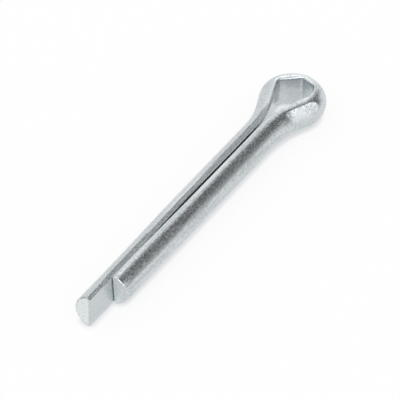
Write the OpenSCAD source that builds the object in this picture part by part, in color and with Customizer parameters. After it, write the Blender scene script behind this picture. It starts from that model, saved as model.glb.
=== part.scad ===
// Split cotter pin, nominal size 4 x 28.
// One length of half-round steel wire, folded flat side inwards over a round eye,
// so that the two prongs lie together as one round shank.
// +X runs along the shank from the eye to the prong ends, and +Z is square to the eye.
// The origin is on the shank's axis, where the prongs start to part into the eye.
// All sizes are in millimetres.

/* [Shank] */
// Nominal length, from under the eye to the end of the short prong
nominal_l = 28; // [20:0.5:80]
// Diameter of the round shank that the two prongs make together
shank_d = 3.5; // [2.8:0.1:4.4]
// Gap between the flats of the two prongs
slot_w = 0.08; // [0.04:0.01:0.3]
// How far the long prong runs past the short one
prong_extra = 3.9; // [1:0.1:8]

/* [Eye] */
// Width across the outside of the eye
eye_w = 7; // [5.8:0.1:9]
// Length of the eye, from its crown to where the nominal length starts
eye_l = 7.9; // [6.5:0.1:12]
// Angle that each limb of the eye turns out of the shank
limb_angle = 30; // [20:1:40]

/* [Edges and ends] */
// Rounding of the two edges along the flat of the wire
edge_r = 0.23; // [0.08:0.01:0.4]
// Edge break around the cropped end of each prong
end_break = 0.15; // [0.05:0.01:0.3]
// What the bevel takes off the outer side of the short prong, at its end
bevel_depth = 0.27; // [0.1:0.01:0.6]
// How far that bevel runs back along the short prong
bevel_l = 0.9; // [0.3:0.1:2.5]

/* [Hidden] */

$fn = 96;

zinc = [0.80, 0.82, 0.83];
// Cutters reach this far past what they cut
over = 1;

shank_r = shank_d / 2;
slot_half = slot_w / 2;
// Thickness of the wire, from its flat to the crown of its round side
wire_t = shank_r - slot_half;
eye_inner_r = eye_w / 2 - wire_t;

// Each limb is one bend out of the shank that runs on into the eye's round, and
// the two arcs share a tangent where they meet
flare_r = (eye_inner_r * cos(limb_angle) - slot_half) / (1 - cos(limb_angle));
eye_x = -(flare_r + eye_inner_r) * sin(limb_angle);

crown_x = eye_x - eye_w / 2;
short_l = nominal_l + eye_l + crown_x;
long_l = short_l + prong_extra;

// Height of the centres of the two edge roundings above and below the middle
edge_z = sqrt(pow(shank_r - edge_r, 2) - pow(edge_r + slot_half, 2));
edge_angle = atan2(edge_z, edge_r + slot_half);

// Half-round section of the wire, its flat on the Y axis and its round side to +X
module wire_section() {
    // The round side, between the two rounded edges
    intersection() {
        translate([-slot_half, 0]) circle(r = shank_r);
        polygon([
            [0, 0],
            [edge_r, -edge_z],
            [-slot_half + shank_d * cos(edge_angle), -shank_d * sin(edge_angle)],
            [shank_d, 0],
            [-slot_half + shank_d * cos(edge_angle), shank_d * sin(edge_angle)],
            [edge_r, edge_z]
        ]);
    }
    // The flat, and the rounding at each end of it
    translate([0, -edge_z]) square([edge_r, 2 * edge_z]);
    for (side = [-1, 1]) translate([edge_r, side * edge_z]) circle(r = edge_r);
}

// Straight wire of a given length along +X, with its flat facing -Y
module straight_wire(length) {
    rotate([90, 0, 90]) linear_extrude(length) wire_section();
}

// Moves by a vector in a coarse and a fine step, so that tangent arcs meet to a
// hundred-thousandth of a millimetre
module place(v) {
    coarse = [for (c = v) round(c * 100) / 100];
    translate(coarse) translate(v - coarse) children();
}

// One limb, bent out of the shank on the +Y side
module limb() {
    place([0, slot_half + flare_r, 0])
        rotate_extrude(angle = limb_angle, start = 270 - limb_angle)
            place([flare_r, 0]) mirror([1, 0]) wire_section();
}

// The round of the eye, from one limb over the crown to the other
module eye_round() {
    place([eye_x, 0, 0])
        rotate_extrude(angle = 180 + 2 * limb_angle, start = 90 - limb_angle)
            place([eye_inner_r, 0]) wire_section();
}

// Prong on the +Y side, cropped square, with its outer edge broken
module prong(length) {
    difference() {
        translate([0, slot_half, 0]) straight_wire(length);
        translate([length - end_break, 0, 0]) rotate([0, 90, 0]) difference() {
            cylinder(h = end_break + over, r = shank_r + over);
            translate([0, 0, -over])
                cylinder(h = end_break + 2 * over, r1 = shank_r + over, r2 = shank_r - end_break - over);
        }
    }
}

// Wedge that bevels the outer side of the short prong's end
module bevel_cut() {
    slope = bevel_depth / bevel_l;
    translate([short_l, shank_r, -shank_d]) linear_extrude(2 * shank_d)
        polygon([
            [over, -bevel_depth - over * slope],
            [over, over],
            [-bevel_l - over, over],
            [-bevel_l - over, over * slope]
        ]);
}

// The whole pin, one folded wire with the short prong on the +Y side
module cotter_pin() {
    color(zinc) {
        eye_round();
        limb();
        mirror([0, 1, 0]) limb();
        difference() {
            prong(short_l);
            bevel_cut();
        }
        mirror([0, 1, 0]) prong(long_l);
    }
}

cotter_pin();
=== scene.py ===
"""Split cotter pin: one folded half-round steel wire, bright zinc plated, on a pale studio floor.

Sizes are in millimetres and meshes in metres. +X runs from the eye to the prong ends, and +Y points
to the short prong.
"""

from math import atan2, ceil, cos, exp, pi, radians, sin, sqrt, tan

import bmesh
import bpy
from mathutils import Matrix, Vector, noise


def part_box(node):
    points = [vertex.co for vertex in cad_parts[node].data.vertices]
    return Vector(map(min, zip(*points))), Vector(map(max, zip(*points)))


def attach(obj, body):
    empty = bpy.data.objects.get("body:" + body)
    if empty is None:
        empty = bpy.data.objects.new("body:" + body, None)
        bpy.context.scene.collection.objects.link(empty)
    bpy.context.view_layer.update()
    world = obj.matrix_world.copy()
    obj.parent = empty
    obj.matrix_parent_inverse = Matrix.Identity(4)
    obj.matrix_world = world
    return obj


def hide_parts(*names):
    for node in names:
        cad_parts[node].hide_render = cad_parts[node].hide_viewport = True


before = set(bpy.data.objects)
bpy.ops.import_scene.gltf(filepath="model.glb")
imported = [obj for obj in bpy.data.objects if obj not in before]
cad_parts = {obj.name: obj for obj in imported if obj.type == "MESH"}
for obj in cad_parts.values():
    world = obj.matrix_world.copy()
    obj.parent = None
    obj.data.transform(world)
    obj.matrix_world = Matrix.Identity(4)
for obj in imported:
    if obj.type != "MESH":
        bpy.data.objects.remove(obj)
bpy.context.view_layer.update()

bl_info = {
    "name": "Split Cotter Pin",
    "version": (1, 0, 0),
    "blender": (4, 5, 0),
    "location": "3D View > Sidebar > Cotter Pin",
    "description": "Builds a zinc-plated split cotter pin and its studio",
    "category": "Object",
}

NODE = "cotter_pin"
MM = 0.001

# Lowest and highest corner of the CAD pin, in mm
LOW, HIGH = (Vector(corner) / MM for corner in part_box(NODE))


# ---------------------------------------------------------------- sizes and colours

class CotterPinShank(bpy.types.PropertyGroup):
    """Sizes of the wire and of its two straight prongs, in millimetres"""

    radius: bpy.props.FloatProperty(
        name="Shank Radius", description="Radius of the shank that the two prongs make together",
        default=1.75, min=1, max=3)
    slot: bpy.props.FloatProperty(
        name="Slot", description="Mean gap between the flats of the prongs", default=0.08,
        min=0.02, max=0.3)
    slot_throat: bpy.props.FloatProperty(
        name="Slot at the Throat", description="Gap between the flats next to the eye", default=0.26,
        min=0.02, max=0.4)
    slot_tip: bpy.props.FloatProperty(
        name="Slot at the Tips", description="Gap left where the prongs nearly touch", default=0.01,
        min=0, max=0.2)
    edge: bpy.props.FloatProperty(
        name="Edge Rounding", description="Rounding of the two edges along the flat", default=0.23,
        min=0.05, max=0.4)
    short_by: bpy.props.FloatProperty(
        name="Short Prong", description="How far the short prong stops before the long one",
        default=3.9, min=1, max=8)


class CotterPinEye(bpy.types.PropertyGroup):
    """Shape of the eye and of the limbs that lead into it"""

    right_flare: bpy.props.FloatProperty(
        name="Right Flare Radius", description="Bend of the short prong's limb, in mm", default=13.6,
        min=5, max=20)
    right_angle: bpy.props.FloatProperty(
        name="Right Limb Angle", description="Angle that the short prong's limb turns out",
        subtype="ANGLE", default=radians(25.7), min=radians(15), max=radians(40))
    left_flare: bpy.props.FloatProperty(
        name="Left Flare Radius", description="Bend of the long prong's limb, in mm", default=10.9,
        min=5, max=20)
    left_angle: bpy.props.FloatProperty(
        name="Left Limb Angle", description="Angle that the long prong's limb turns out",
        subtype="ANGLE", default=radians(22.4), min=radians(15), max=radians(40))
    press_depth: bpy.props.FloatProperty(
        name="Press Depth", description="How deep the tool pressed the short limb's upper outer side",
        default=0.19, min=0, max=0.35)
    press_slope: bpy.props.FloatProperty(
        name="Press Slope", description="How far that pressed flat leans up", subtype="ANGLE",
        default=radians(36), min=radians(10), max=radians(80))
    press_turn: bpy.props.FloatProperty(
        name="Press Turn", description="Direction that it faces, from +X towards +Y", subtype="ANGLE",
        default=radians(66), min=radians(45), max=radians(100))
    wall_lean: bpy.props.FloatProperty(
        name="Wall Lean", description="How much nearer than its top the foot of the eye's far wall is",
        default=0.2, min=0, max=0.4)
    facet_sharpness: bpy.props.FloatProperty(
        name="Facet Sharpness", description="How crisp the corners inside the eye are", default=30,
        min=6, max=80)


class CotterPinEnds(bpy.types.PropertyGroup):
    """Cropped ends of the prongs, in millimetres"""

    long_break: bpy.props.FloatProperty(
        name="Long End Rounding", description="Rounding around the long prong's end", default=0.15,
        min=0.02, max=0.3)
    short_break: bpy.props.FloatProperty(
        name="Short End Rounding", description="Rounding around the short prong's end", default=0.13,
        min=0.02, max=0.3)
    long_lean: bpy.props.FloatProperty(
        name="Long End Lean", description="Slant of the long end, which runs on further at the bottom",
        subtype="ANGLE", default=radians(4.5), min=0, max=radians(20))
    bevel_depth: bpy.props.FloatProperty(
        name="Bevel Depth", description="What the bevel takes off the short end's face at its middle",
        default=0.62, min=0.05, max=1)
    bevel_angle: bpy.props.FloatProperty(
        name="Bevel Angle", description="Turn of the bevel away from the end's face", subtype="ANGLE",
        default=radians(55), min=radians(20), max=radians(85))
    bevel_lean: bpy.props.FloatProperty(
        name="Bevel Lean", description="Tilt of the bevel, which cuts deeper at the bottom",
        subtype="ANGLE", default=radians(17), min=0, max=radians(40))
    worn_turn: bpy.props.FloatProperty(
        name="Worn Edge Slope", description="Direction that the long prong's worn upper edge faces",
        subtype="ANGLE", default=radians(68), min=radians(45), max=radians(85))
    worn_height: bpy.props.FloatProperty(
        name="Worn Edge Height", description="Height above the middle at which it meets the flat",
        default=1.385, min=1.2, max=1.5)
    twist: bpy.props.FloatProperty(
        name="Twist", description="How far the prongs turn about the shank's axis towards their ends",
        subtype="ANGLE", default=radians(2.5), min=0, max=radians(10))


class CotterPinFinish(bpy.types.PropertyGroup):
    """Bright zinc plate"""

    pale: bpy.props.StringProperty(
        name="Zinc", description="sRGB hex colour of the zinc plate", default="#D5D9DB")
    dull: bpy.props.StringProperty(
        name="Dull Zinc", description="sRGB hex colour of its duller clouds", default="#BEC5C8")
    sheared: bpy.props.StringProperty(
        name="Sheared Zinc", description="sRGB hex colour of the plate on the cropped ends",
        default="#E9EDED")
    sheared_dull: bpy.props.StringProperty(
        name="Dull Sheared Zinc", description="sRGB hex colour of its duller specks", default="#DCE1E2")
    roughness: bpy.props.FloatProperty(
        name="Roughness", description="Blur of what the plate mirrors", default=0.27, min=0.05, max=0.8)
    grain: bpy.props.FloatProperty(
        name="Grain", description="Size of the plate's grain, in mm", default=0.23, min=0.02, max=1)


class CotterPinStage(bpy.types.PropertyGroup):
    """Floor, light and camera of the studio"""

    floor: bpy.props.StringProperty(
        name="Floor", description="sRGB hex colour of the floor", default="#FBFBFB")
    azimuth: bpy.props.FloatProperty(
        name="Camera Azimuth", description="Direction of the camera, from +X towards +Y",
        subtype="ANGLE", default=radians(33.04))
    elevation: bpy.props.FloatProperty(
        name="Camera Elevation", description="Height of the camera's line of sight",
        subtype="ANGLE", default=radians(43.0))
    distance: bpy.props.FloatProperty(
        name="Camera Distance", description="Distance from the camera to where it looks, in mm",
        default=245)
    lens: bpy.props.FloatProperty(
        name="Lens", description="Focal length on a 36 mm wide sensor", unit="CAMERA", default=225.2)


GROUPS = {
    "pin_shank": CotterPinShank,
    "pin_eye": CotterPinEye,
    "pin_ends": CotterPinEnds,
    "pin_finish": CotterPinFinish,
    "pin_stage": CotterPinStage,
}


# ---------------------------------------------------------------- helpers

def linear(hex_colour):
    """Linear RGBA of an sRGB hex colour"""
    channels = [int(hex_colour[i:i + 2], 16) / 255 for i in (1, 3, 5)]
    return [c / 12.92 if c <= 0.04045 else ((c + 0.055) / 1.055) ** 2.4 for c in channels] + [1]


def per_metre(size_mm):
    """Texture scale that gives features of a size in millimetres"""
    return 1 / (size_mm * MM)


def add_node(tree, kind, settings=None, **links):
    """Adds a node; settings hold attributes, links hold values or output sockets for its inputs"""
    node = tree.nodes.new(kind)
    for key, value in (settings or {}).items():
        setattr(node, key, value)
    for key, value in links.items():
        name = key.replace("_", " ")
        socket = node.inputs[int(key[1:])] if key[0] == "i" and key[1:].isdigit() else node.inputs[name]
        if isinstance(value, bpy.types.NodeSocket):
            tree.links.new(value, socket)
        else:
            socket.default_value = value
    return node


def new_material(name):
    """Empty node material"""
    material = bpy.data.materials.new(name)
    material.use_nodes = True
    material.node_tree.nodes.clear()
    return material


def mesh_object(bm, name, *materials):
    """Object of a finished bmesh, in metres, at the origin"""
    mesh = bpy.data.meshes.new(name)
    bm.to_mesh(mesh)
    bm.free()
    for material in materials:
        mesh.materials.append(material)
    obj = bpy.data.objects.new(name, mesh)
    bpy.context.scene.collection.objects.link(obj)
    return obj


def ramp(value, start, end):
    """Smooth change from 0 at the start to 1 at the end"""
    t = min(1, max(0, (value - start) / (end - start)))
    return t * t * (3 - 2 * t)


# ---------------------------------------------------------------- zinc plate

# Sizes of the plate's patterns, in mm: dents from tumbling, duller clouds, marks of the drawing die
DENTS, CLOUDS, DIE_MARKS = 0.9, 2.4, 0.25

# Depths of the dents and of the die's marks, in mm, and where along X the marks begin and are whole
DENT_DEPTH, MARK_DEPTH = 0.02, 0.01
MARKS_BEGIN, MARKS_WHOLE = -3, 0

# How far the grain, and what it takes from the streaks, mostly lie from their means
GRAIN_SPREAD, MOTTLE_SPREAD = 0.2, 0.15

# How far the grain takes the roughness to either side
GRAIN_ROUGHNESS = 0.16

# Mesh attribute of the wire's flat: how much of the grain the drawing die took away there
FLAT = "drawn_flat"
DIE_SMOOTHED = 0.75


def zinc_plate(name, finish, roughness, depth, dull, pale):
    """Zinc plate over drawn, tumbled or sheared wire, whose grain is of a given depth in millimetres"""
    material = new_material(name)
    tree = material.node_tree
    place = add_node(tree, "ShaderNodeTexCoord").outputs["Object"]
    # The real grain is a few hundredths of a millimetre: it is drawn coarser here, so that it shows
    grain = add_node(tree, "ShaderNodeTexNoise", Vector=place, Scale=per_metre(finish.grain),
                     Detail=2.0, Roughness=0.6)
    dents = add_node(tree, "ShaderNodeTexNoise", Vector=place, Scale=per_metre(DENTS), Detail=2.0)
    cloud = add_node(tree, "ShaderNodeTexNoise", Vector=place, Scale=per_metre(CLOUDS), Detail=3.0)
    # The die's marks are 25 times as long as they are wide, and end where the wire bends into the eye
    drawn = add_node(tree, "ShaderNodeMapping", Vector=place, Scale=(0.04, 1, 1))
    marks = add_node(tree, "ShaderNodeTexNoise", Vector=drawn.outputs["Vector"],
                     Scale=per_metre(DIE_MARKS), Detail=2.0)
    along = add_node(tree, "ShaderNodeSeparateXYZ", Vector=place)
    straight = add_node(tree, "ShaderNodeMapRange", Value=along.outputs["X"],
                        From_Min=MARKS_BEGIN * MM, From_Max=MARKS_WHOLE * MM)
    # Grain and marks fade towards their mean on the wire's flat, which the die left smoother
    smoothed = add_node(tree, "ShaderNodeAttribute", {"attribute_name": FLAT}).outputs["Fac"]
    grit, scores = [
        add_node(tree, "ShaderNodeMix", {"data_type": "FLOAT"}, i0=smoothed, i2=pattern.outputs["Fac"],
                 i3=0.5).outputs[0]
        for pattern in (grain, marks)]
    streaks = add_node(tree, "ShaderNodeMix", {"data_type": "FLOAT"}, i0=straight.outputs["Result"],
                       i2=cloud.outputs["Fac"], i3=scores)
    # The rougher a speck of the grain, the duller it is
    mottle = add_node(tree, "ShaderNodeMath", {"operation": "SUBTRACT"}, i0=streaks.outputs[0], i1=grit)
    clear = add_node(tree, "ShaderNodeMapRange", Value=mottle.outputs[0],
                     From_Min=-MOTTLE_SPREAD, From_Max=MOTTLE_SPREAD)
    tone = add_node(tree, "ShaderNodeMix", {"data_type": "RGBA"}, i0=clear.outputs["Result"],
                    i6=linear(dull), i7=linear(pale))
    rough = add_node(tree, "ShaderNodeMapRange", Value=grit,
                     From_Min=0.5 - GRAIN_SPREAD, From_Max=0.5 + GRAIN_SPREAD,
                     To_Min=roughness - GRAIN_ROUGHNESS, To_Max=roughness + GRAIN_ROUGHNESS)
    low = add_node(tree, "ShaderNodeBump", Strength=0.3, Distance=DENT_DEPTH * MM,
                   Height=dents.outputs["Fac"])
    lines = add_node(tree, "ShaderNodeBump", Strength=straight.outputs["Result"],
                     Distance=MARK_DEPTH * MM, Height=scores, Normal=low.outputs["Normal"])
    fine = add_node(tree, "ShaderNodeBump", Strength=1.0, Distance=depth * MM, Height=grit,
                    Normal=lines.outputs["Normal"])
    shader = add_node(tree, "ShaderNodeBsdfPrincipled", Base_Color=tone.outputs[2], Metallic=1.0,
                      Roughness=rough.outputs["Result"], Normal=fine.outputs["Normal"])
    add_node(tree, "ShaderNodeOutputMaterial", Surface=shader.outputs["BSDF"])
    return material


def bright_zinc(finish):
    """Blue-bright zinc plate from the barrel"""
    # A pale, cool metal whose blurred reflections break up into a fine grain
    return zinc_plate("blue-bright zinc plate on drawn steel", finish, roughness=finish.roughness,
                      depth=0.013, dull=finish.dull, pale=finish.pale)


def sheared_zinc(finish):
    """The same plate over the torn grain of a sheared end"""
    # It looks matt, pale and evenly lit
    return zinc_plate("blue-bright zinc plate on sheared steel", finish,
                      roughness=finish.roughness + 0.32, depth=0.006, dull=finish.sheared_dull,
                      pale=finish.sheared)


# ---------------------------------------------------------------- the folded wire

# What the eye's outline stays inside the CAD pin's box, in mm
EYE_CLEARANCE = 0.01

# Places along X, in mm, between which the prongs take on their twist
TWISTED = 3, 22

# Flats that the bending tool left inside the eye: direction from the eye's centre, in degrees from +X
# towards +Y, and distance from that centre in mm
EYE_FACETS = [(88, 1.88), (112, 2.07), (162, 1.92), (220, 1.65), (268, 1.88)]


class Wire:
    """Outline of the wire and the path of its flat, worked out from the sizes"""

    def __init__(self, shank, eye, ends):
        self.shank, self.eye, self.ends = shank, eye, ends
        self.half = shank.slot / 2
        self.eye_outer = (HIGH.y - LOW.y) / 2 - EYE_CLEARANCE
        self.eye_inner = self.eye_outer - (shank.radius - self.half)
        self.eye_x = LOW.x + self.eye_outer + EYE_CLEARANCE
        self.long_x = HIGH.x
        self.short_x = HIGH.x - shank.short_by
        self.edge_z = sqrt((shank.radius - shank.edge) ** 2 - (shank.edge + self.half) ** 2)
        self.edge_turn = pi - atan2(self.edge_z, shank.edge + self.half)

    def twist(self, x):
        """How far the shank has turned about its axis at a place along it"""
        return self.ends.twist * ramp(x, *TWISTED)

    def limb(self, flare, angle):
        """Where a limb's flare starts along X, and the length of its straight stretch"""
        straight = (self.eye_inner * cos(angle) - self.half - flare * (1 - cos(angle))) / sin(angle)
        start = self.eye_x + (flare + self.eye_inner) * sin(angle) + straight * cos(angle)
        return start, straight

    def section(self, point):
        """How far a point on the short prong's side lies out from the flat, and which way is out"""
        eye = self.eye
        start, _ = self.limb(eye.right_flare, eye.right_angle)
        around = Vector((point.x - self.eye_x, point.y))
        if atan2(around.y, around.x) > pi / 2 - eye.right_angle:
            return around.length - self.eye_inner, around.normalized()
        away = Vector((start - point.x, self.half + eye.right_flare - point.y))
        if atan2(away.x, away.y) < eye.right_angle:
            return eye.right_flare - away.length, away.normalized()
        out = Vector((sin(eye.right_angle), cos(eye.right_angle)))
        return around @ out - self.eye_inner, out

    def eye_wall(self, angle):
        """Distance from the eye's centre to its inner wall, which the bending tool left in facets"""
        right, left = pi / 2 - self.eye.right_angle, 3 * pi / 2 + self.eye.left_angle
        facets = [(right, self.eye_inner), (left, self.eye_inner)]
        facets += [(radians(turn), distance) for turn, distance in EYE_FACETS]
        sharp = self.eye.facet_sharpness
        total = sum((cos(angle - turn) / distance) ** sharp for turn, distance in facets
                    if cos(angle - turn) > 0)
        return total ** (-1 / sharp)


def spin_ring(bm, ring, centre, axis, angle, step):
    """Sweeps the ring about a centre in steps of about a given angle and returns the last ring"""
    verts = {v for e in ring for v in e.verts}
    turned = bmesh.ops.spin(bm, geom=list(verts) + ring, cent=centre, axis=axis, angle=angle,
                            steps=max(1, ceil(abs(angle) / step)), use_merge=False, use_duplicate=False)
    return [g for g in turned["geom_last"] if isinstance(g, bmesh.types.BMEdge)]


def push_ring(bm, ring, vector, step):
    """Extrudes the ring straight along a vector in equal steps and returns the last ring"""
    steps = max(1, ceil(vector.length / step))
    for _ in range(steps):
        grown = bmesh.ops.extrude_edge_only(bm, edges=ring)["geom"]
        verts = {g for g in grown if isinstance(g, bmesh.types.BMVert)}
        bmesh.ops.translate(bm, verts=list(verts), vec=vector / steps)
        ring = [g for g in grown if isinstance(g, bmesh.types.BMEdge) and set(g.verts) <= verts]
    return ring


# Faces around the outline: along each rounded edge, the round side and the flat
EDGE_FACES, ROUND_FACES, FLAT_FACES = 9, 46, 16


def wire_ring(bm, wire):
    """Half-round outline at the long prong's end, its flat towards +Y and its round side to -Y"""
    radius, edge, x = wire.shank.radius, wire.shank.edge, wire.long_x
    smooth = bm.verts.layers.float.new(FLAT)
    start = bm.verts.new((x, -wire.half, wire.edge_z))
    tip = [start]
    arcs = [
        ((x, -wire.half - edge, wire.edge_z), wire.edge_turn, EDGE_FACES),
        ((x, 0, 0), 2 * (pi - wire.edge_turn), ROUND_FACES),
        ((x, -wire.half - edge, -wire.edge_z), wire.edge_turn, EDGE_FACES),
    ]
    for centre, angle, steps in arcs:
        turned = bmesh.ops.spin(bm, geom=tip, cent=centre, axis=(1, 0, 0), angle=angle, steps=steps,
                                use_merge=False, use_duplicate=False)
        tip = [g for g in turned["geom_last"] if isinstance(g, bmesh.types.BMVert)]
    flat = bm.edges.new((tip[0], start))
    inner = bmesh.ops.subdivide_edges(bm, edges=[flat], cuts=FLAT_FACES - 1)["geom_inner"]
    for vert in inner:
        if isinstance(vert, bmesh.types.BMVert):
            vert[smooth] = DIE_SMOOTHED
    return list(bm.edges)


# Plain stretch at each end, in mm, from which the crop and the bevel are cut
CROP = 1.4

# Length of the faces along the prongs and along the limbs, in mm
PRONG_STEP, LIMB_STEP = 0.2, 0.15

# Turn from face to face around the long limb's bend, the eye, and the short limb's bend, which is finer
# because the tool marked it
LEFT_STEP, EYE_STEP, RIGHT_STEP = radians(1.2), radians(2), radians(0.4)


def fold_wire(wire):
    """Sweeps the outline from the long prong's end around the eye to the short prong's end"""
    bm = bmesh.new()
    up = (0, 0, 1)
    eye = wire.eye
    left_start, left_straight = wire.limb(eye.left_flare, eye.left_angle)
    right_start, right_straight = wire.limb(eye.right_flare, eye.right_angle)
    first = wire_ring(bm, wire)
    ring = push_ring(bm, first, Vector((-CROP, 0, 0)), CROP)
    ring = push_ring(bm, ring, Vector((left_start - wire.long_x + CROP, 0, 0)), PRONG_STEP)
    ring = spin_ring(bm, ring, (left_start, -wire.half - eye.left_flare, 0), up, eye.left_angle,
                     LEFT_STEP)
    outward = Vector((-cos(eye.left_angle), -sin(eye.left_angle), 0))
    ring = push_ring(bm, ring, outward * left_straight, LIMB_STEP)
    around = -(pi + eye.left_angle + eye.right_angle)
    ring = spin_ring(bm, ring, (wire.eye_x, 0, 0), up, around, EYE_STEP)
    inward = Vector((cos(eye.right_angle), -sin(eye.right_angle), 0))
    ring = push_ring(bm, ring, inward * right_straight, LIMB_STEP)
    ring = spin_ring(bm, ring, (right_start, wire.half + eye.right_flare, 0), up, eye.right_angle,
                     RIGHT_STEP)
    ring = push_ring(bm, ring, Vector((wire.short_x - CROP - right_start, 0, 0)), PRONG_STEP)
    push_ring(bm, ring, Vector((CROP, 0, 0)), CROP)
    return bm


# Places along X, in mm, between which the tool's flat comes on
PRESSED = -2.2, -4.2

# How unevenly it does: reach of the crumples along X, in mm, and their number in a millimetre
CRUMPLE, CRUMPLES = 0.28, 2.2

# Share of the press that stays after the metal has sprung back
PRESS_KEPT = 0.72

# Creases where the wire crumpled next to the tool: places along X, width and depth, in mm
WRINKLES = -4.95, -5.3
WRINKLE_WIDTH, WRINKLE_DEPTH = 0.1, 0.008


def press_side(bm, wire):
    """Presses a flat into the upper outer side of the short limb and the eye, where a tool held them"""
    eye = wire.eye
    slope, turn = eye.press_slope, eye.press_turn
    normal = Vector((cos(slope) * cos(turn), cos(slope) * sin(turn), sin(slope)))
    centre = Vector((wire.eye_x, 0, 0))
    reach = (wire.eye_inner - wire.half) * cos(slope) + wire.shank.radius - eye.press_depth
    for vert in bm.verts:
        # The tool reached the short limb and its side of the eye
        if vert.co.y < 0.2 or vert.co.x > -1:
            continue
        depth, out = wire.section(vert.co)
        foot = vert.co.x - depth * out.x
        share = ramp(foot - CRUMPLE * noise.noise(vert.co * CRUMPLES), *PRESSED)
        beyond = max(0, (vert.co - centre) @ normal - reach)
        # The creases fade in between 1.1 and 1.6 mm out from the flat
        outer = min(1, max(0, (depth - 1.1) / 0.5))
        crease = sum(exp(-((foot - x) / WRINKLE_WIDTH) ** 2) for x in WRINKLES) * WRINKLE_DEPTH
        vert.co -= normal * (beyond * PRESS_KEPT + crease * outer) * share


# Places along X, in mm, between which the wear comes on
WORN = -6, -2

# Place along X, in mm, from which the wear faces further outwards, and by how much at the tip
WORN_TIP, WORN_TIP_TURN = 24, radians(1.5)

# How much higher on the flat the wear ends than it begins, in mm
WORN_RISE = 0.08


def wear_edge(bm, wire):
    """Wears the upper edge of the long prong's flat from the eye to the tip"""
    ends = wire.ends
    for vert in bm.verts:
        x, y, z = vert.co
        share = ramp(x, *WORN)
        if share > 0 and y < 0 and z > 1:
            tip = ramp(x, WORN_TIP, wire.long_x - 1)
            slope = ends.worn_turn - wire.twist(x) - WORN_TIP_TURN * tip
            normal = Vector((0, cos(slope), sin(slope)))
            flat = -wire.half - min(0, x) ** 2 / (2 * wire.eye.left_flare)
            height = ends.worn_height + WORN_RISE * max(0, x) / wire.long_x
            beyond = (vert.co - Vector((x, flat, height))) @ normal
            vert.co -= normal * max(0, beyond) * share


# Direction of the eye's far wall from the eye's centre, which leans in at its foot
FAR_SIDE = radians(215)


def press_eye(bm, wire):
    """Presses the tool's flats into the inside of the eye; its outside stays round"""
    thickness = wire.eye_outer - wire.eye_inner
    right, left = pi / 2 - wire.eye.right_angle, 3 * pi / 2 + wire.eye.left_angle
    for vert in bm.verts:
        out = Vector((vert.co.x - wire.eye_x, vert.co.y))
        angle = atan2(out.y, out.x) % (2 * pi)
        if right < angle < left:
            far = max(0, cos(angle - FAR_SIDE)) ** 2
            below_top = (1 - vert.co.z / wire.edge_z) / 2
            wall = wire.eye_wall(angle) - wire.eye.wall_lean * far * below_top
            inside = max(0, 1 - (out.length - wire.eye_inner) / thickness)
            out *= 1 + (wall - wire.eye_inner) * inside ** 2 / out.length
            vert.co.x = wire.eye_x + out.x
            vert.co.y = out.y


# Places along X, in mm, between which the slot closes towards the tips, and between which the extra
# width that it has at the throat ends
SLOT_CLOSED = 12, 25
SLOT_EVEN = 0, -4


def open_slot(bm, wire):
    """Lets the prongs part evenly from their ends, where they nearly touch, to the throat of the eye"""
    shank = wire.shank
    for vert in bm.verts:
        x = vert.co.x
        gap = shank.slot_throat
        gap += (shank.slot_tip - shank.slot_throat) * ramp(x, *SLOT_CLOSED)
        gap += (shank.slot - shank.slot_throat) * ramp(x, *SLOT_EVEN)
        shift = (gap - shank.slot) / 2
        vert.co.y += shift if vert.co.y > 0 else -shift


# What the twisted wire stays inside the shank's height, in mm
TWIST_CLEARANCE = 0.0004


def twist_prongs(bm, wire):
    """Twists the shank a little towards its ends, and keeps the whole wire within the shank's height"""
    top = wire.edge_z + wire.shank.edge - TWIST_CLEARANCE
    for vert in bm.verts:
        turn = wire.twist(vert.co.x)
        y, z = vert.co.y, vert.co.z
        vert.co.y = y * cos(turn) - z * sin(turn)
        vert.co.z = min(top, max(-top, y * sin(turn) + z * cos(turn)))


def shear(bm, point, normal, start, side):
    """Shears off what lies beyond a plane, past a place on X and on one side of Y; closes the cut"""
    geom = [g for g in [*bm.verts, *bm.edges, *bm.faces]
            if all(v.co.x > start and v.co.y * side > 0 for v in getattr(g, "verts", [g]))]
    cut = bmesh.ops.bisect_plane(bm, geom=geom, dist=1e-5, plane_co=point, plane_no=normal.normalized(),
                                 clear_outer=True)
    rim = [g for g in cut["geom_cut"] if isinstance(g, bmesh.types.BMEdge)]
    return bmesh.ops.contextual_create(bm, geom=rim)["faces"][0]


# Slots of the pin's two finishes
BRIGHT, MATT = 0, 1


def round_rim(bm, face, rounding):
    """Rounds the rim of a face that the shear left matt; the barrel brightens the rim"""
    face.material_index = MATT
    rim = bmesh.ops.bevel(bm, geom=list(face.edges), offset=rounding, offset_type="OFFSET", segments=4,
                          profile=0.5, affect="EDGES", material=-1, clamp_overlap=True)
    for strip in rim["faces"]:
        strip.material_index = BRIGHT


# What the shear takes off the long and the short end, in mm
LONG_SHAVING, SHORT_SHAVING = 0.004, 0.001


def crop_ends(bm, wire):
    """Crops both prongs and bevels the short one"""
    ends = wire.ends
    # Each cut looks for its wire from a little before the plain stretch on
    reach = 1.5 * CROP
    foot = Vector((wire.long_x - LONG_SHAVING, 0, LOW.z))
    lean = Vector((cos(ends.long_lean), 0, sin(ends.long_lean)))
    end = shear(bm, foot, lean, wire.long_x - reach, -1)
    round_rim(bm, end, ends.long_break)
    middle = Vector((wire.short_x - SHORT_SHAVING, 0, 0))
    end = shear(bm, middle, Vector((1, 0, 0)), wire.short_x - reach, 1)
    round_rim(bm, end, ends.short_break)
    side = Vector((wire.short_x, wire.shank.radius - ends.bevel_depth, 0))
    bevel = Vector((cos(ends.bevel_angle), sin(ends.bevel_angle) * cos(ends.bevel_lean),
                    -sin(ends.bevel_angle) * sin(ends.bevel_lean)))
    shear(bm, side, bevel, wire.short_x - reach, 1)
    bmesh.ops.recalc_face_normals(bm, faces=bm.faces)


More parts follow.
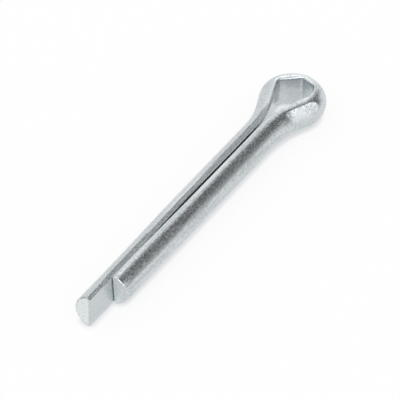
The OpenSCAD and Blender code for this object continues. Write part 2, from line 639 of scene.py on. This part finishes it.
class COTTER_OT_pin(bpy.types.Operator):
    """Builds the pin: one wire folded over its eye, with a long and a short prong"""

    bl_idname = "cotter.pin"
    bl_label = "Build Cotter Pin"

    def execute(self, context):
        scene = context.scene
        wire = Wire(scene.pin_shank, scene.pin_eye, scene.pin_ends)
        bm = fold_wire(wire)
        crop_ends(bm, wire)
        press_side(bm, wire)
        wear_edge(bm, wire)
        press_eye(bm, wire)
        open_slot(bm, wire)
        twist_prongs(bm, wire)
        bmesh.ops.scale(bm, vec=(MM, MM, MM), verts=bm.verts)
        for face in bm.faces:
            face.smooth = True
        for edge in bm.edges:
            # A cut face is the only kind with more than a few corners, and its edge stays crisp
            cut = max(len(face.verts) for face in edge.link_faces) > 8
            edge.smooth = not cut and edge.calc_face_angle() < radians(35)
        finish = scene.pin_finish
        pin = mesh_object(bm, "folded_wire", bright_zinc(finish), sheared_zinc(finish))
        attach(pin, "root")
        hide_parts(NODE)
        return {"FINISHED"}


# ---------------------------------------------------------------- the stage

def card(name, azimuth, low, high, width, distance, foot, head):
    """Upright card around the pin, shaded from foot to head, which shows only in its metal"""
    side = distance * tan(radians(width / 2))
    bottom, top = distance * tan(radians(low)), distance * tan(radians(high))
    material = new_material(name)
    tree = material.node_tree
    place = add_node(tree, "ShaderNodeTexCoord").outputs["Object"]
    height = add_node(tree, "ShaderNodeSeparateXYZ", Vector=place).outputs["Z"]
    light = add_node(tree, "ShaderNodeMapRange", Value=height, From_Min=bottom, From_Max=top,
                     To_Min=foot, To_Max=head)
    glow = add_node(tree, "ShaderNodeEmission", Color=(1, 1, 1, 1), Strength=light.outputs["Result"])
    add_node(tree, "ShaderNodeOutputMaterial", Surface=glow.outputs["Emission"])
    bm = bmesh.new()
    bmesh.ops.create_grid(bm, x_segments=1, y_segments=1, size=0.5)
    bmesh.ops.scale(bm, vec=(2 * side, top - bottom, 1), verts=bm.verts)
    bmesh.ops.rotate(bm, matrix=Matrix.Rotation(radians(90), 3, "X"), verts=bm.verts)
    bmesh.ops.translate(bm, vec=(0, -distance, (top + bottom) / 2), verts=bm.verts)
    bmesh.ops.rotate(bm, matrix=Matrix.Rotation(radians(azimuth + 90), 3, "Z"), verts=bm.verts)
    obj = mesh_object(bm, name, material)
    obj.visible_camera = obj.visible_diffuse = obj.visible_shadow = False


# Half the floor's width, in metres
FLOOR_HALF = 3

# Painted contact shadow in the floor's glow, where the pin nearly touches it: how far it reaches in mm,
# and what is left of the white there, as a level and a cool tint
PAINTED_SHADOW_REACH, PAINTED_SHADOW_LEVEL, PAINTED_SHADOW_TINT = 0.6, 0.73, "#F8FBFF"

# How much of the floor glows white by itself to the camera and in the metal, and how white it is there
CAMERA_SHARE, MIRROR_SHARE, MIRROR_LEVEL = 0.85, 0.95, 0.96


def floor(colour, height):
    """Wide pale floor, white to the camera and in the metal, with the pin's soft shadow on its lit
    paper and a painted contact shadow in its glow
    """
    material = new_material("matt white paper sweep")
    tree = material.node_tree
    paper = add_node(tree, "ShaderNodeBsdfDiffuse", Color=linear(colour))
    # Ambient occlusion darkens and tints the glow close to the pin: a painted contact shadow
    close = add_node(tree, "ShaderNodeAmbientOcclusion", {"samples": 8}, Distance=PAINTED_SHADOW_REACH * MM)
    painted_shadow = add_node(tree, "ShaderNodeMapRange", Value=close.outputs["AO"], From_Min=0.3,
                        From_Max=1, To_Min=PAINTED_SHADOW_LEVEL, To_Max=1)
    shade = add_node(tree, "ShaderNodeMix", {"data_type": "RGBA"}, i0=close.outputs["AO"],
                     i6=linear(PAINTED_SHADOW_TINT), i7=(1, 1, 1, 1))
    path = add_node(tree, "ShaderNodeLightPath")
    mirrored = add_node(tree, "ShaderNodeMath", {"operation": "MAXIMUM"},
                        i0=path.outputs["Is Glossy Ray"], i1=path.outputs["Is Transmission Ray"])
    level = add_node(tree, "ShaderNodeMix", {"data_type": "FLOAT"}, i0=mirrored.outputs[0],
                     i2=painted_shadow.outputs["Result"], i3=MIRROR_LEVEL)
    glow = add_node(tree, "ShaderNodeEmission", Color=shade.outputs[2], Strength=level.outputs[0])
    part = add_node(tree, "ShaderNodeMath", {"operation": "MULTIPLY"}, i0=mirrored.outputs[0],
                    i1=MIRROR_SHARE)
    share = add_node(tree, "ShaderNodeMath", {"operation": "MULTIPLY_ADD"},
                     i0=path.outputs["Is Camera Ray"], i1=CAMERA_SHARE, i2=part.outputs[0])
    mix = add_node(tree, "ShaderNodeMixShader", Fac=share.outputs[0], i1=paper.outputs["BSDF"],
                   i2=glow.outputs["Emission"])
    add_node(tree, "ShaderNodeOutputMaterial", Surface=mix.outputs["Shader"])
    bm = bmesh.new()
    bmesh.ops.create_grid(bm, x_segments=1, y_segments=1, size=FLOOR_HALF)
    bmesh.ops.translate(bm, vec=(0, 0, height), verts=bm.verts)
    mesh_object(bm, "floor", material)


# Cards around the pin: azimuth, lowest and highest elevation, width (all in degrees, from the pin's
# middle), distance in metres, and brightness at the foot and the head, where the studio's white is 1
CARDS = {
    "right_softbox": (88, -2, 44, 48, 0.50, 0.76, 1.85),
    "upper_flag": (92, 44, 66, 50, 0.48, 0.2, 0.2),
    "front_softbox": (35, 1, 64, 58, 0.52, 1.25, 1.25),
    "flag_foot": (133, -5, 24, 34, 0.45, 0.74, 0.15),
    "dark_flag": (138, 24, 66, 44, 0.45, 0.165, 0.165),
    "grey_edge": (166, 10, 60, 12, 0.47, 0.46, 0.46),
    "overhead": (185, 56, 74, 50, 0.50, 1.3, 1.3),
    "tip_glint": (-32, 20, 56, 38, 0.45, 2.2, 2.2),
    "grey_back": (288, 0, 40, 46, 0.60, 0.3, 0.5),
    "key": (30, 38, 58, 22, 0.40, 6.5, 6.5),
    "back_glint": (211, 8, 36, 26, 0.55, 1.7, 1.7),
}


# Point that the camera looks at, in mm
AIM = Vector((11.034, 0.162, 0))


class COTTER_OT_stage(bpy.types.Operator):
    """Sets up the floor, the cards around the pin and the camera"""

    bl_idname = "cotter.stage"
    bl_label = "Set Up Stage"

    def execute(self, context):
        scene = context.scene
        stage = scene.pin_stage
        scene.view_settings.view_transform = "Standard"
        floor(stage.floor, LOW.z * MM)
        for name, place in CARDS.items():
            card(name, *place)

        world = bpy.data.worlds.new("white studio")
        world.use_nodes = True
        world.node_tree.nodes.clear()
        sky = add_node(world.node_tree, "ShaderNodeBackground", Color=(1, 1, 1, 1), Strength=1.0)
        add_node(world.node_tree, "ShaderNodeOutputWorld", Surface=sky.outputs["Background"])
        scene.world = world

        camera = bpy.data.objects.new("camera", bpy.data.cameras.new("camera"))
        camera.data.lens = stage.lens
        camera.data.sensor_width = 36
        across, up = cos(stage.elevation), sin(stage.elevation)
        back = Vector((cos(stage.azimuth) * across, sin(stage.azimuth) * across, up))
        camera.location = (AIM + back * stage.distance) * MM
        camera.rotation_euler = back.to_track_quat("Z", "Y").to_euler()
        scene.collection.objects.link(camera)
        scene.camera = camera
        return {"FINISHED"}


class COTTER_PT_panel(bpy.types.Panel):
    """Sizes, finish and stage of the cotter pin"""

    bl_idname = "COTTER_PT_panel"
    bl_label = "Cotter Pin"
    bl_space_type = "VIEW_3D"
    bl_region_type = "UI"
    bl_category = "Cotter Pin"

    def draw(self, context):
        for name, group in GROUPS.items():
            box = self.layout.box()
            box.label(text=group.__doc__)
            for key in group.__annotations__:
                box.prop(getattr(context.scene, name), key)
        self.layout.operator(COTTER_OT_pin.bl_idname)
        self.layout.operator(COTTER_OT_stage.bl_idname)


CLASSES = [*GROUPS.values(), COTTER_OT_pin, COTTER_OT_stage, COTTER_PT_panel]


def register():
    """Registers the classes and puts the settings on the scene"""
    for cls in CLASSES:
        bpy.utils.register_class(cls)
    for name, group in GROUPS.items():
        setattr(bpy.types.Scene, name, bpy.props.PointerProperty(type=group))


def unregister():
    """Takes the settings and the classes away again"""
    for name in GROUPS:
        delattr(bpy.types.Scene, name)
    for cls in reversed(CLASSES):
        bpy.utils.unregister_class(cls)


def main():
    """Registers the add-on and builds the pin and its stage"""
    register()
    bpy.ops.cotter.pin()
    bpy.ops.cotter.stage()


if __name__ == "__main__":
    main()
